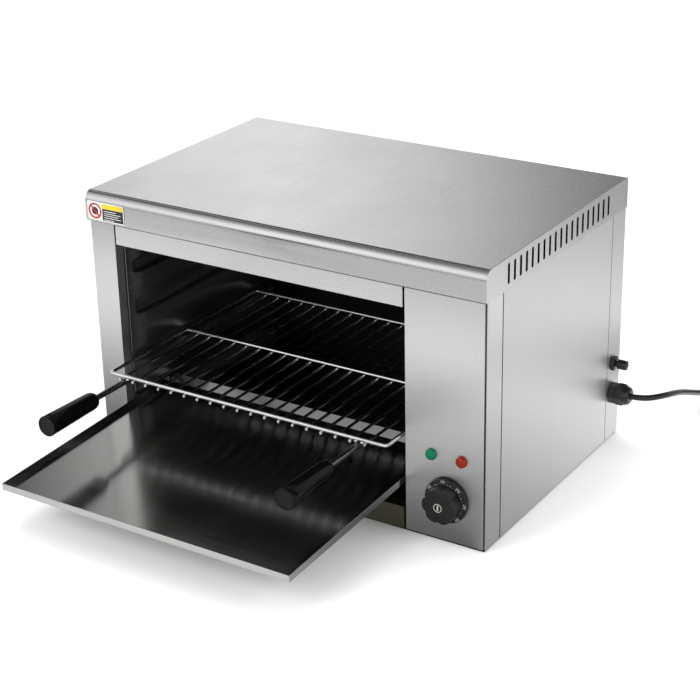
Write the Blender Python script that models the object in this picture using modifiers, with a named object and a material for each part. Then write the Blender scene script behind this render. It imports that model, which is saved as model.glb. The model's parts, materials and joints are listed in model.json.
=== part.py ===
"""Countertop salamander: an open-front electric grill with a pull-out rack and drip tray.

Units: every size below is in millimetres and is turned into metres as the objects are made.
Places are (x, y, z): x to the right of the middle of the casing, y back from the plane of the
front posts, z up from the underside of the base. The finished model has its origin at the
middle of the base's underside, +Z up, with its front facing -Y.
"""
import math

import bmesh
import bpy
from mathutils import Matrix, Vector

MM = 0.001

# --- driving dimensions -------------------------------------------------------------------
HALF_DEPTH = 145.5  # from the front plane to the model's origin
SHEET = 0.8  # stainless sheet
GAP = 0.3  # between touching pieces
SIDE = 224.0  # half width over the side panels
BODY_TOP = 252.0  # top of the posts and side panels, inside the cover
HEM = 1.3  # bottom edge of the vertical sheets
COVER_TOP = 280.0
COVER_BOTTOM = 249.6
COVER_HALF = 225.1
COVER_REAR = 290.9
NOSE_FRONT = -5.0  # the cover's rolled nose stands proud of the posts
NOSE_RADIUS = 8.5
SEAM_FRONT = 29.0  # post to side panel
SEAM_REAR = 261.5  # side panel to rear panel
OPENING = (-194.5, 139.2)  # left post's inner edge, control panel's left edge
RAIL_TOP = 24.0
CROSSBAR_BOTTOM = 227.6
PANEL_RIGHT = 221.6
PANEL_DEPTH = 12.8
WALL_LEFT = -189.5  # chamber walls, inner faces
WALL_RIGHT = 133.5
WALL_REAR = 262.4
GROOVE = 5.7  # how far the runners are pressed outward
SLOTS = 19
SLOT_FIRST = 36.5
SLOT_PITCH = 11.6
SLOT_LOW = 256.6
SLOT_HIGH = 272.7
SLOT_WIDTH = 3.8
KNOB = (184.5, 45.0)  # x, z
LAMP_Z = 88.0
LAMPS = (("green", 167.4), ("red", 199.3))
RACK_Z = 98.5
RACK_X = (-191.7, 134.2)
RACK_Y = (-25.0, 230.0)
RACK_RODS = 19
RACK_ROD_FIRST = -177.3
RACK_ROD_PITCH = 16.08
HANDLE_Z = 92.2
HANDLES = (("left", -173.6, -72.5), ("right", 104.0, -77.0))  # name, x, front of the rod
GRIP_LENGTH = 67.5
GRIP_RADIUS = 10.25
TRAY_X = (-193.6, 136.0)
TRAY_Y = (-189.0, 70.0)
TRAY_FLOOR = 41.0  # height of the tray's floor at its front lip
TRAY_TILT = math.radians(2.2)
TRAY_LIP = 6.2
ELEMENT_Z = 235.0
ELEMENTS = (("front", 60.0), ("rear", 165.0))  # name, first run
ELEMENT_SPAN = 35.0
ELEMENT_RADIUS = 4.0
RESET = (272.0, 86.6)  # y, z
GLAND = (272.0, 53.4)
GLAND_END = 246.6
CORD_RADIUS = 3.1
COIL_CENTRE = (315.6, 470.0)
COIL_OUTER = 45.5  # middle of the outermost turn
COIL_PITCH = 6.3
PLUG_Y = 425.0  # back of the plug's sleeve
PLUG_RADIUS = 18.5

# --- frames: where a piece's own x, y and z axes point ----------------------------------------
FRAMES = {
    "X": ((0, 1, 0), (0, 0, 1), (1, 0, 0)),
    "Y": ((0, 0, 1), (1, 0, 0), (0, 1, 0)),
    "-Y": ((1, 0, 0), (0, 0, 1), (0, -1, 0)),
    "Z": ((1, 0, 0), (0, 1, 0), (0, 0, 1)),
}


def place(point):
    """A point in millimetres from the front plane, as a world point in metres."""
    return Vector((point[0], point[1] - HALF_DEPTH, point[2])) * MM


def frame_at(centre, way):
    """World matrix of an object whose own axes point along the named frame."""
    turn = Matrix(FRAMES[way]).transposed().to_4x4()
    return Matrix.Translation(place(centre)) @ turn


def spot(way, a, b, along):
    """A point with (a, b) across an axis and `along` on it."""
    if way == "X":
        return (along, a, b)
    if way == "Y":
        return (a, along, b)
    return (a, b, along)


# --- scene, collections and materials ---------------------------------------------------------
def clear_scene():
    for obj in list(bpy.data.objects):
        bpy.data.objects.remove(obj, do_unlink=True)


def new_collection(name):
    collection = bpy.data.collections.new(name)
    bpy.context.scene.collection.children.link(collection)
    return collection


def finish_material(name, colour, roughness, metallic):
    """A Principled material with one colour."""
    material = bpy.data.materials.new(name)
    material.use_nodes = True
    shader = material.node_tree.nodes["Principled BSDF"]
    shader.inputs["Base Color"].default_value = (*colour, 1.0)
    shader.inputs["Roughness"].default_value = roughness
    shader.inputs["Metallic"].default_value = metallic
    return material


clear_scene()
PARTS = new_collection("countertop_salamander")
CUTTERS = new_collection("cutters")


def finish_for(name, colour, roughness, metallic):
    """The finish of one named piece."""
    return finish_material(name + "_finish", colour, roughness, metallic)


FINISHES = {
    "steel": ((0.62, 0.62, 0.61), 0.32, 1.0),
    "dark_steel": ((0.20, 0.19, 0.18), 0.45, 1.0),
    "aluminised": ((0.45, 0.44, 0.42), 0.4, 1.0),
    "tray_steel": ((0.55, 0.55, 0.54), 0.12, 1.0),
    "chrome": ((0.72, 0.72, 0.72), 0.12, 1.0),
    "black_plastic": ((0.015, 0.015, 0.015), 0.25, 0.0),
    "knob_plastic": ((0.03, 0.03, 0.028), 0.4, 0.0),
    "black_rubber": ((0.02, 0.02, 0.02), 0.5, 0.0),
    "green_lens": ((0.0, 0.45, 0.28), 0.2, 0.0),
    "red_lens": ((0.75, 0.09, 0.02), 0.2, 0.0),
    "element": ((0.12, 0.12, 0.11), 0.55, 1.0),
    "ceramic": ((0.8, 0.78, 0.72), 0.5, 0.0),
    "brass": ((0.75, 0.58, 0.28), 0.3, 1.0),
    "copper": ((0.72, 0.40, 0.26), 0.35, 1.0),
    "print": ((0.85, 0.85, 0.83), 0.45, 0.0),
    "brown_wire": ((0.22, 0.09, 0.04), 0.5, 0.0),
    "blue_wire": ((0.03, 0.12, 0.45), 0.5, 0.0),
}


def dress(obj, finish):
    obj.data.materials.clear()
    obj.data.materials.append(finish_for(obj.name, *FINISHES[finish]))


def add(name, data, finish, matrix=None):
    """Put an object in the model, or among the cutters if it has no finish."""
    obj = bpy.data.objects.new(name, data)
    if finish:
        PARTS.objects.link(obj)
        dress(obj, finish)
    else:
        CUTTERS.objects.link(obj)
        obj.hide_render = True
        obj.display_type = "WIRE"
    if matrix is not None:
        obj.matrix_world = matrix
    return obj


def mesh_from(bm, name):
    mesh = bpy.data.meshes.new(name)
    bm.to_mesh(mesh)
    bm.free()
    return mesh


def placed_mesh(bm, name, origin):
    """Turn a bmesh in millimetre places into a mesh around its origin, in metres."""
    for vert in bm.verts:
        vert.co = place(vert.co) - origin
    return mesh_from(bm, name)


# --- shape helpers ----------------------------------------------------------------------------
def box(name, low, high, finish=None):
    """A block between two corners."""
    low, high = Vector(low), Vector(high)
    origin = place((low + high) / 2)
    bm = bmesh.new()
    bmesh.ops.create_cube(bm, size=1.0)
    for vert in bm.verts:
        vert.co = (low + high) / 2 + vert.co * (high - low)
    return add(name, placed_mesh(bm, name, origin), finish, Matrix.Translation(origin))


def sheet(name, profile, way, start, end, finish, thickness=SHEET):
    """A folded sheet: the middle line of its section, drawn out along an axis."""
    origin = place(spot(way, profile[0][0], profile[0][1], start))
    bm = bmesh.new()
    verts = [bm.verts.new(spot(way, a, b, start)) for a, b in profile]
    edges = [bm.edges.new(pair) for pair in zip(verts, verts[1:])]
    drawn = bmesh.ops.extrude_edge_only(bm, edges=edges)["geom"]
    moved = [item for item in drawn if isinstance(item, bmesh.types.BMVert)]
    shift = Vector(spot(way, 0, 0, end - start))
    bmesh.ops.translate(bm, verts=moved, vec=shift)
    obj = add(name, placed_mesh(bm, name, origin), finish, Matrix.Translation(origin))
    thicken(obj, thickness, 0.0)
    return obj


def thicken(obj, thickness, offset):
    solidify = obj.modifiers.new("thickness", "SOLIDIFY")
    solidify.thickness = thickness * MM
    solidify.offset = offset
    solidify.use_even_offset = True


def turned(name, profile, centre, way, finish=None, steps=24, ring=False):
    """A lathe shape: (radius, distance) pairs down its outer side, turned about an axis."""
    bm = bmesh.new()
    verts = [bm.verts.new((r * MM, 0.0, s * MM)) for r, s in profile]
    pairs = list(zip(verts, verts[1:]))
    if ring:
        pairs.append((verts[-1], verts[0]))
    for pair in pairs:
        bm.edges.new(pair)
    obj = add(name, mesh_from(bm, name), finish, frame_at(centre, way))
    screw = obj.modifiers.new("turn", "SCREW")
    screw.axis = "Z"
    screw.steps = steps
    screw.render_steps = steps
    screw.use_merge_vertices = True
    screw.merge_threshold = 0.00001
    screw.use_smooth_shade = True
    return obj


def rod_profile(radius, start, end, chamfer=0.0):
    """A plain round bar from start to end, for turned()."""
    edge = radius - chamfer
    if chamfer:
        return [(0, end), (edge, end), (radius, end - chamfer), (radius, start), (0, start)]
    return [(0, end), (radius, end), (radius, start), (0, start)]


def weld_to_mesh(curve_obj, finish):
    """Replace a curve object with a welded mesh object of the same name."""
    name = curve_obj.name
    matrix = curve_obj.matrix_world.copy()
    graph = bpy.context.evaluated_depsgraph_get()
    mesh = bpy.data.meshes.new_from_object(curve_obj.evaluated_get(graph))
    bm = bmesh.new()
    bm.from_mesh(mesh)
    bmesh.ops.remove_doubles(bm, verts=bm.verts, dist=0.000001)
    bmesh.ops.recalc_face_normals(bm, faces=bm.faces)
    bm.to_mesh(mesh)
    bm.free()
    bpy.data.objects.remove(curve_obj, do_unlink=True)
    return add(name, mesh, finish, matrix)


def outlined(name, outline, centre, way, length, finish=None):
    """A flat outline, given across the frame's axis, drawn out along it from its centre."""
    curve = bpy.data.curves.new(name, "CURVE")
    curve.dimensions = "2D"
    curve.fill_mode = "BOTH"
    curve.extrude = length * MM / 2
    spline = curve.splines.new("POLY")
    spline.points.add(len(outline) - 1)
    for point, (u, v) in zip(spline.points, outline):
        point.co = (u * MM, v * MM, 0.0, 1.0)
    spline.use_cyclic_u = True
    matrix = frame_at(centre, way) @ Matrix.Translation((0, 0, length * MM / 2))
    obj = add(name, curve, None, matrix)
    bpy.context.view_layer.update()
    return weld_to_mesh(obj, finish)


def tube(name, points, radius, finish=None, cyclic=False, resolution=2):
    """A round wire through its points."""
    origin = place(points[0])
    curve = bpy.data.curves.new(name, "CURVE")
    curve.dimensions = "3D"
    curve.bevel_depth = radius * MM
    curve.bevel_resolution = resolution
    curve.use_fill_caps = not cyclic
    spline = curve.splines.new("POLY")
    spline.points.add(len(points) - 1)
    for item, point in zip(spline.points, points):
        item.co = (*(place(point) - origin), 1.0)
    spline.use_cyclic_u = cyclic
    return add(name, curve, finish, Matrix.Translation(origin))


def bars(name, places, way, radius, start, end, finish=None, segments=16):
    """Round bars of one size, as one object: a cutter, or the rods of a rack."""
    bm = bmesh.new()
    for a, b in places:
        turn = Matrix(FRAMES[way]).transposed().to_4x4()
        middle = Matrix.Translation(Vector(spot(way, a, b, (start + end) / 2)))
        bmesh.ops.create_cone(
            bm,
            cap_ends=True,
            segments=segments,
            radius1=radius,
            radius2=radius,
            depth=abs(end - start),
            matrix=middle @ turn,
        )
    origin = place(spot(way, *places[0], start))
    return add(name, placed_mesh(bm, name, origin), finish, Matrix.Translation(origin))


def combine(obj, tool, operation="DIFFERENCE"):
    boolean = obj.modifiers.new(tool.name, "BOOLEAN")
    boolean.operation = operation
    boolean.object = tool
    return obj


def arc(centre, radius, first, last, steps):
    """Points of an arc, with its angles in degrees."""
    points = []
    for i in range(steps + 1):
        angle = math.radians(first + (last - first) * i / steps)
        points.append((centre[0] + radius * math.cos(angle), centre[1] + radius * math.sin(angle)))
    return points


def hexagon(across_flats, turn=0.0):
    corner = across_flats / math.sqrt(3)
    return arc((0, 0), corner, turn, turn + 300, 5)


def rounded_rectangle(low, high, radius, steps=3):
    """The outline of a rectangle with round corners."""
    corners = ((high, high, 0), (low, high, 90), (low, low, 180), (high, low, 270))
    outline = []
    for across, up, angle in corners:
        x = across[0] + (radius if across is low else -radius)
        y = up[1] + (radius if up is low else -radius)
        outline += arc((x, y), radius, angle, angle + 90, steps)
    return outline


def smooth_path(points, steps):
    """A smooth curve through the points, with `steps` stretches between each two of them."""
    rows = [Vector(p) for p in points]
    rows = [2 * rows[0] - rows[1], *rows, 2 * rows[-1] - rows[-2]]
    path = []
    for before, start, end, after in zip(rows, rows[1:], rows[2:], rows[3:]):
        for i in range(steps):
            t = i / steps
            path.append(
                0.5
                * (
                    2 * start
                    + (end - before) * t
                    + (2 * before - 5 * start + 4 * end - after) * t**2
                    + (3 * start - before - 3 * end + after) * t**3
                )
            )
    return [*path, rows[-2]]


def hang_on(name, point, pieces):
    """An empty on a joint's axis, which carries the pieces that move with it."""
    empty = bpy.data.objects.new(name, None)
    empty.empty_display_size = 0.02
    empty.matrix_world = Matrix.Translation(place(point))
    PARTS.objects.link(empty)
    for piece in pieces:
        piece.parent = empty
        piece.matrix_parent_inverse = Matrix.Translation(-place(point))


# --- casing -----------------------------------------------------------------------------------
def make_base_and_rail():
    middle = SHEET / 2
    sheet("base_pan", [(1.1, 0.5), (288.9, 0.5), (288.9, 14)], "X", -222.9, 222.9, "steel", 1.0)
    ends = (OPENING[0] + 1.7, OPENING[1] - 1.7)
    rail = [(middle, HEM), (middle, RAIL_TOP - middle), (12, RAIL_TOP - middle)]
    sheet("front_rail", rail, "X", *ends, "steel")
    low = CROSSBAR_BOTTOM + middle
    sheet("crossbar", [(12, low), (middle, low), (middle, 262)], "X", *ends, "steel")


def make_posts():
    middle = SHEET / 2
    side = SIDE - middle
    rear = SEAM_FRONT - middle
    inner = OPENING[0] - middle
    left = [(inner, 12), (inner, middle), (-side, middle), (-side, rear), (-212, rear)]
    sheet("left_post", left, "Z", HEM, BODY_TOP, "steel")
    right = [(side, middle), (side, rear), (212, rear)]
    sheet("right_post", right, "Z", HEM, BODY_TOP, "steel")


def make_side_panels():
    side = SIDE - SHEET / 2
    front = SEAM_FRONT + GAP + SHEET / 2
    rear = SEAM_REAR - GAP
    left = [(-212, front), (-side, front), (-side, rear)]
    right = [(212, front), (side, front), (side, rear)]
    sheet("left_side_panel", left, "Z", HEM, BODY_TOP, "steel")
    sheet("right_side_panel", right, "Z", HEM, BODY_TOP, "steel")


def make_rear_panel():
    side = SIDE - SHEET / 2
    plane = COVER_REAR - 0.7
    half = [(side, SEAM_REAR), (side, plane)]
    section = half + [(-x, y) for x, y in reversed(half)]
    panel = sheet("rear_panel", section, "Z", HEM, COVER_TOP - SHEET - GAP, "steel")
    combine(panel, bars("gland_hole", [GLAND], "X", 7.4, 215, 232))
    combine(panel, bars("reset_hole", [RESET], "X", 5.8, 215, 232))
    corners = [(x, z) for x in (-212, 212) for z in (30, 240)]
    combine(panel, bars("rear_screw_holes", corners, "Y", 1.9, 286, 294, segments=12))
    head = [(0, 2.0), (2.2, 1.9), (3.6, 0.9), (3.6, 0.3), (1.5, 0.3), (1.5, -6), (0, -6)]
    for number, (x, z) in enumerate(corners, 1):
        centre = (x, plane + SHEET / 2, z)
        turned(f"rear_screw_{number}", head, centre, "Y", "steel", 12)


def cover_outline(inset, bottom, mouth):
    """Side view of the cover: rear, flat top, rolled nose, and the small turn under it."""
    top = COVER_TOP - inset
    roll = (NOSE_FRONT + NOSE_RADIUS, COVER_TOP - NOSE_RADIUS)
    turn_under = 1.5
    foot = (NOSE_FRONT + turn_under, COVER_BOTTOM + turn_under)
    outline = [(COVER_REAR + inset * 2, bottom), (COVER_REAR + inset * 2, top)]
    outline += arc(roll, NOSE_RADIUS - inset, 90, 180, 8)
    outline += arc(foot, turn_under - inset, 180, 270, 3)
    if mouth:
        outline += [(mouth, COVER_BOTTOM + inset), (mouth, bottom)]
    return outline


def slot_outline():
    """A round-ended upright slot about the origin, as (y, z)."""
    half = (SLOT_HIGH - SLOT_LOW) / 2
    radius = SLOT_WIDTH / 2
    return arc((0, half), radius, 0, 180, 5) + arc((0, -half), radius, 180, 360, 5)


def make_cover():
    width = 2 * COVER_HALF
    outer = cover_outline(0.0, COVER_BOTTOM, None)
    cover = outlined("top_cover", outer, (-COVER_HALF, 0, 0), "X", width, "steel")
    inner = cover_outline(SHEET, COVER_BOTTOM - 10, NOSE_FRONT + 4.6)
    start = (-COVER_HALF + SHEET, 0, 0)
    combine(cover, outlined("cover_inside", inner, start, "X", width - 2 * SHEET))
    middle = (SLOT_LOW + SLOT_HIGH) / 2
    first = (-COVER_HALF - 5, SLOT_FIRST, middle)
    cutter = outlined("cover_slots", slot_outline(), first, "X", width + 10)
    row = cutter.modifiers.new("row", "ARRAY")
    row.count = SLOTS
    row.use_relative_offset = False
    row.use_constant_offset = True
    row.constant_offset_displace = (SLOT_PITCH * MM, 0, 0)
    combine(cover, cutter)


def make_control_panel():
    low = Vector((OPENING[1], 0, HEM))
    high = Vector((PANEL_RIGHT, PANEL_DEPTH, BODY_TOP))
    origin = place((low + high) / 2)
    bm = bmesh.new()
    bmesh.ops.create_cube(bm, size=1.0)
    for vert in bm.verts:
        vert.co = (low + high) / 2 + vert.co * (high - low)
    back = [face for face in bm.faces if face.normal.y > 0.5]
    rims = {edge for face in back for edge in face.edges}
    bmesh.ops.delete(bm, geom=back, context="FACES_ONLY")
    folds = [edge for edge in bm.edges if edge not in rims]
    bmesh.ops.bevel(bm, geom=folds, offset=1.0, segments=2, profile=0.5, affect="EDGES")
    mesh = placed_mesh(bm, "control_panel", origin)
    panel = add("control_panel", mesh, "steel", Matrix.Translation(origin))
    thicken(panel, SHEET, -1.0)
    lamps = [(x, LAMP_Z) for _, x in LAMPS]
    combine(panel, bars("lamp_holes", lamps, "Y", 4.7, -5, 5))
    combine(panel, bars("knob_hole", [KNOB], "Y", 4.0, -5, 5))


def make_label():
    outline = rounded_rectangle((252.3, -221.6), (271.3, -175.8), 1.5, 2)
    outlined("front_label", outline, (0, NOSE_FRONT - 0.7, 0), "Y", 0.4, "print")


# --- grill chamber ----------------------------------------------------------------------------
def wall_section(face, way):
    """The section of a pressed side wall: its runners stand out from the chamber."""
    plane = face + way * SHEET / 2
    deep = plane + way * GROOVE
    section = [(plane, 23.9)]
    for low, high in ((36, 62.5), (91, 108), (143, 162), (188, 205)):
        section += [(plane, low), (deep, low + 3.5), (deep, high - 3.5), (plane, high)]
    return [*section, (plane, 248.9)]


def make_chamber():
    rear = WALL_REAR - GAP
    left = wall_section(WALL_LEFT, -1)
    sheet("chamber_left_wall", left, "Y", PANEL_DEPTH, rear, "dark_steel")
    right = wall_section(WALL_RIGHT, 1)
    wall = sheet("chamber_right_wall", right, "Y", PANEL_DEPTH + 0.4, rear, "dark_steel")
    runs = [(y + step, ELEMENT_Z) for _, y in ELEMENTS for step in (0, ELEMENT_SPAN)]
    combine(wall, bars("element_holes", runs, "X", ELEMENT_RADIUS + 0.5, 130, 138))
    combine(wall, bars("capillary_hole", [(100, 222)], "X", 2.0, 130, 138, segments=10))
    plane = WALL_REAR + SHEET / 2
    back = [(272, 24), (plane, 24), (plane, 249.2), (272, 249.2)]
    sheet("chamber_back_wall", back, "X", -194, OPENING[1] - 0.3, "dark_steel")
    sides = (WALL_LEFT + 0.7, WALL_RIGHT - 0.7)
    ceiling = [(sides[0], 240), (sides[0], 248.6), (sides[1], 248.6), (sides[1], 240)]
    sheet("chamber_ceiling", ceiling, "Y", 1.1, rear, "dark_steel")
    box("chamber_floor", (-194, 12.3, 22.4), (OPENING[1] - 0.3, rear, 23.2), "dark_steel")


def element_path(first):
    """A hairpin: out along one run, round the bend, and back along the other."""
    middle = first + ELEMENT_SPAN / 2
    bend = arc((middle, -150), ELEMENT_SPAN / 2, 180, 360, 10)
    return [(146, first, ELEMENT_Z), *((x, y, ELEMENT_Z) for y, x in bend)] + [
        (146, first + ELEMENT_SPAN, ELEMENT_Z)
    ]


def make_elements():
    for name, first in ELEMENTS:
        tube(f"heating_element_{name}", element_path(first), ELEMENT_RADIUS, "element")
        runs = [(first, ELEMENT_Z), (first + ELEMENT_SPAN, ELEMENT_Z)]
        low, high = first - 10, first + ELEMENT_SPAN + 10
        flange = box(f"element_flange_{name}", (134.6, low, 227), (136.2, high, 243), "steel")
        holes = bars(f"flange_holes_{name}", runs, "X", ELEMENT_RADIUS + 0.4, 132, 139)
        combine(flange, holes)
        hanger = box(f"element_hanger_{name}", (-31, low, 229), (-30, high, 247.9), "steel")
        holes = bars(f"hanger_holes_{name}", runs, "X", ELEMENT_RADIUS + 0.4, -35, -25)
        combine(hanger, holes)


# --- controls ---------------------------------------------------------------------------------
def make_thermostat():
    x, z = KNOB
    body = box("thermostat_body", (x - 18, 3.3, z - 17), (x + 18, 27, z + 17), "ceramic")
    bush = bars("thermostat_bush", [KNOB], "Y", 4.9, 1.1, 5)
    combine(body, bush, "UNION")
    combine(body, bars("shaft_pocket", [KNOB], "Y", 3.3, 0, 19))
    turned("thermostat_bulb", rod_profile(3.0, 0, 80, 0.8), (127, 110, 222), "Y", "copper", 12)
    route = [
        (x, 27.4, z + 10),
        (x, 40, z + 14),
        (178, 62, 100),
        (162, 84, 175),
        (152, 96, 212),
        (144, 100, 222),
        (131, 100, 222),
        (127.6, 103, 222),
        (127, 109.6, 222),
    ]
    tube("thermostat_capillary", smooth_path(route, 3), 0.9, "copper", resolution=1)


def lobed_outline(radius, depth, lobes, steps):
    """A round outline with shallow hollows for the fingers."""
    outline = []
    for i in range(steps):
        angle = 2 * math.pi * i / steps
        r = radius * (1 + depth * math.cos(lobes * angle))
        outline.append((r * math.cos(angle), r * math.sin(angle)))
    return outline


def make_knob():
    x, z = KNOB
    disc = [(0, 4.4), (21.8, 4.4), (22.25, 4.0), (22.25, 2.5), (21.9, 2.2), (0, 2.2)]
    skirt = turned("knob_skirt", disc, (x, 0, z), "-Y", "knob_plastic", 36)
    lobes = lobed_outline(17.0, 0.045, 6, 48)
    grip = outlined("knob_grip", lobes, (x, -4.7, z), "-Y", 14.0, "knob_plastic")
    cap = turned("knob_cap", rod_profile(4.3, 19.0, 19.6, 0.2), (x, 0, z), "-Y", "print", 20)
    shaft = turned("knob_shaft", rod_profile(3.0, -18.5, 1.9), (x, 0, z), "-Y", "steel", 16)
    hang_on("knob_axis", (x, 0, z), [skirt, grip, cap, shaft])


def make_lamps():
    lens = [(0, 4.6), (3.2, 4.3), (4.9, 3.4), (5.6, 2.0), (5.6, 0.3), (4.4, 0.3), (4.4, -6), (0, -6)]
    for colour, x in LAMPS:
        turned(f"{colour}_lamp_lens", lens, (x, 0, LAMP_Z), "-Y", f"{colour}_lens", 20)
        holder = rod_profile(5.6, -24, -6.3)
        turned(f"{colour}_lamp_body", holder, (x, 0, LAMP_Z), "-Y", "black_plastic", 14)


def make_reset():
    y, z = RESET
    make_cutout(y, z)
    nut = outlined("reset_nut", hexagon(13.6, 0), (224.4, y, z), "X", 4.2, "black_plastic")
    combine(nut, bars("reset_nut_hole", [RESET], "X", 3.4, 220, 235))
    head = [(0, 241), (4.5, 241), (5, 240.4), (5, 231.2), (2.9, 231.2), (2.9, 214), (0, 214)]
    button = turned("reset_button", head, (0, y, z), "X", "black_plastic", 20)
    hang_on("reset_axis", (224, y, z), [button])


def make_cutout(y, z):
    """The cut-out's body: a bush through the panel, with a pocket for the button's stem."""
    section = [(0, 211), (3.3, 211), (3.3, 224.1), (5.4, 224.1), (5.4, 222.8), (9, 222.8)]
    section += [(9, 196), (0, 196)]
    turned("reset_cutout_body", section, (0, y, z), "X", "ceramic", 20)


def make_gland():
    y, z = GLAND
    bore = bars("gland_bore", [GLAND], "X", 3.5, 200, 260)
    nut = outlined("gland_locknut", hexagon(19, 0), (218.5, y, z), "X", 4.4, "black_plastic")
    combine(nut, bars("locknut_hole", [GLAND], "X", 7.3, 215, 226))
    body = outlined("gland_body", hexagon(19, 0), (224.3, y, z), "X", 7.2, "black_plastic")
    combine(body, bars("gland_stem", [GLAND], "X", 7.0, 216, 226, segments=20), "UNION")
    combine(body, bore)
    dome = outlined("gland_dome_nut", hexagon(20, 0), (231.8, y, z), "X", 14.8, "black_plastic")
    crown = [(0, 246.6), (6.6, 246.6), (8.6, 245.2), (9.9, 242.6), (10.6, 239.8)]
    crown += [(11.8, 239.4), (11.8, 230), (0, 230)]
    combine(dome, turned("gland_crown", crown, (0, y, z), "X", None, 24), "INTERSECT")
    combine(dome, bore)


def make_wiring():
    block = box("terminal_block", (196, 226, 12), (214, 256, 28), "ceramic")
    heads = [(205, y) for y in (232, 241, 250)]
    combine(block, bars("terminal_wells", heads, "Z", 2.6, 20, 32, segments=12))
    lead = [(206, *GLAND), (216, *GLAND), (228, *GLAND), (239.5, *GLAND)]
    tube("supply_lead_inner", lead, CORD_RADIUS, "black_rubber")
    live = [(200, 256.6, 20), (200, 261, 20.4), (198, 268, 27), (191, 277, 50), (188, 276, 76), (190, 272, 86.6)]
    tube("wire_live", smooth_path([*live, (195.7, 272, 86.6)], 3), 1.2, "brown_wire", resolution=1)
    neutral = [(205, 225.4, 20), (205, 221, 19.6), (205, 200, 14), (200, 120, 12), (190, 60, 20)]
    neutral += [(184.5, 38, 36), (184.5, 27.4, 38)]
    tube("wire_neutral", smooth_path(neutral, 3), 1.2, "blue_wire", resolution=1)


# --- pull-out pieces --------------------------------------------------------------------------
def make_rack():
    left, right = RACK_X
    front, back = RACK_Y
    loop = rounded_rectangle((left, front), (right, back), 4, 3)
    around = [(x, y, RACK_Z) for x, y in loop]
    frame_wire = tube("wire_rack", around, 2.1, None, cyclic=True)
    bpy.context.view_layer.update()
    rack = weld_to_mesh(frame_wire, "chrome")
    middle = bars("rack_middle_bar", [((front + back) / 2, RACK_Z)], "X", 1.8, left, right, segments=8)
    rods = [(RACK_ROD_FIRST + RACK_ROD_PITCH * i, RACK_Z - 3.1) for i in range(RACK_RODS)]
    rods = bars("rack_rods", rods, "Y", 1.3, front - 3, back + 3, segments=8)
    combine(rack, middle, "UNION")
    combine(rack, rods, "UNION")
    pieces = [rack]
    for name, x, end in HANDLES:
        pieces += make_handle(name, x, end)
    hang_on("rack_slide", ((left + right) / 2, front, RACK_Z), pieces)


def make_handle(name, x, end):
    """A steel rod under the rack's front bar, with a moulded grip and its end cap."""
    start = (x, end, HANDLE_Z)
    bar = rod_profile(3.0, 19 + end, 43)
    rod = turned(f"{name}_handle_rod", bar, start, "-Y", "steel", 12)
    length = GRIP_LENGTH
    wide = GRIP_RADIUS
    grip = [(0, length), (wide - 0.5, length), (wide, length - 0.8), (wide - 1.3, 6), (7.4, 1.5)]
    grip += [(6.4, 0), (3.3, 0), (3.3, 44), (0, 44)]
    handle = turned(f"{name}_grip", grip, start, "-Y", "black_plastic", 24)
    top = length + 2.9
    cap = [(0, top - 0.8), (8.4, top - 0.8), (8.8, top), (9.8, top), (10.5, top - 0.7)]
    cap += [(10.5, length + 0.3), (0, length + 0.3)]
    end_cap = turned(f"{name}_grip_cap", cap, start, "-Y", "black_plastic", 24)
    return [rod, handle, end_cap]


def make_tray():
    """A shallow pan: upright front and side lips, and a rear lip that leans back."""
    left, right = TRAY_X
    front, back = TRAY_Y
    length = back - front
    half = SHEET / 2
    bm = bmesh.new()
    bmesh.ops.create_grid(bm, x_segments=1, y_segments=1, size=0.5)
    for vert in bm.verts:
        across = left + half if vert.co.x < 0 else right - half
        along = half if vert.co.y < 0 else length
        vert.co = (across, along, -half)
    rear_edge = [e for e in bm.edges if min(v.co.y for v in e.verts) > length - 1]
    walls = [e for e in bm.edges if e not in rear_edge]
    lips = bmesh.ops.extrude_edge_only(bm, edges=walls)["geom"]
    lips = [item for item in lips if isinstance(item, bmesh.types.BMVert)]
    bmesh.ops.translate(bm, verts=lips, vec=(0, 0, TRAY_LIP + half))
    notch = bmesh.ops.extrude_edge_only(bm, edges=rear_edge)["geom"]
    notch = [item for item in notch if isinstance(item, bmesh.types.BMVert)]
    for vert in notch:
        vert.co += Vector((4 if vert.co.x < 0 else -4, 4.2, 9.0))
    origin = place(((left + right) / 2, front, TRAY_FLOOR))
    shift = Vector(((left + right) / 2, 0, 0))
    for vert in bm.verts:
        vert.co = (vert.co - shift) * MM
    matrix = Matrix.Translation(origin) @ Matrix.Rotation(TRAY_TILT, 4, "X")
    tray = add("drip_tray", mesh_from(bm, "drip_tray"), "tray_steel", matrix)
    thicken(tray, SHEET, 0.0)
    hang_on("tray_slide", ((left + right) / 2, front, TRAY_FLOOR), [tray])


# --- supply cord ------------------------------------------------------------------------------
CORD_ROUTE = [
    (240.0, 272.0, 53.4),
    (247.0, 272.0, 53.4),
    (255.0, 272.5, 53.9),
    (262.5, 274.5, 54.5),
    (269.0, 279.0, 54.9),
    (274.0, 287.0, 54.4),
    (277.0, 297.0, 52.7),
    (278.3, 310.0, 49.3),
    (278.5, 325.0, 44.3),
    (278.2, 340.0, 38.4),
    (277.8, 355.0, 31.9),
    (277.4, 370.0, 25.4),
    (277.0, 385.0, 19.0),
    (276.2, 400.0, 13.0),
    (274.8, 415.0, 7.9),
    (272.8, 430.0, 4.4),
    (271.0, 442.0, 3.2),
]


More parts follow.
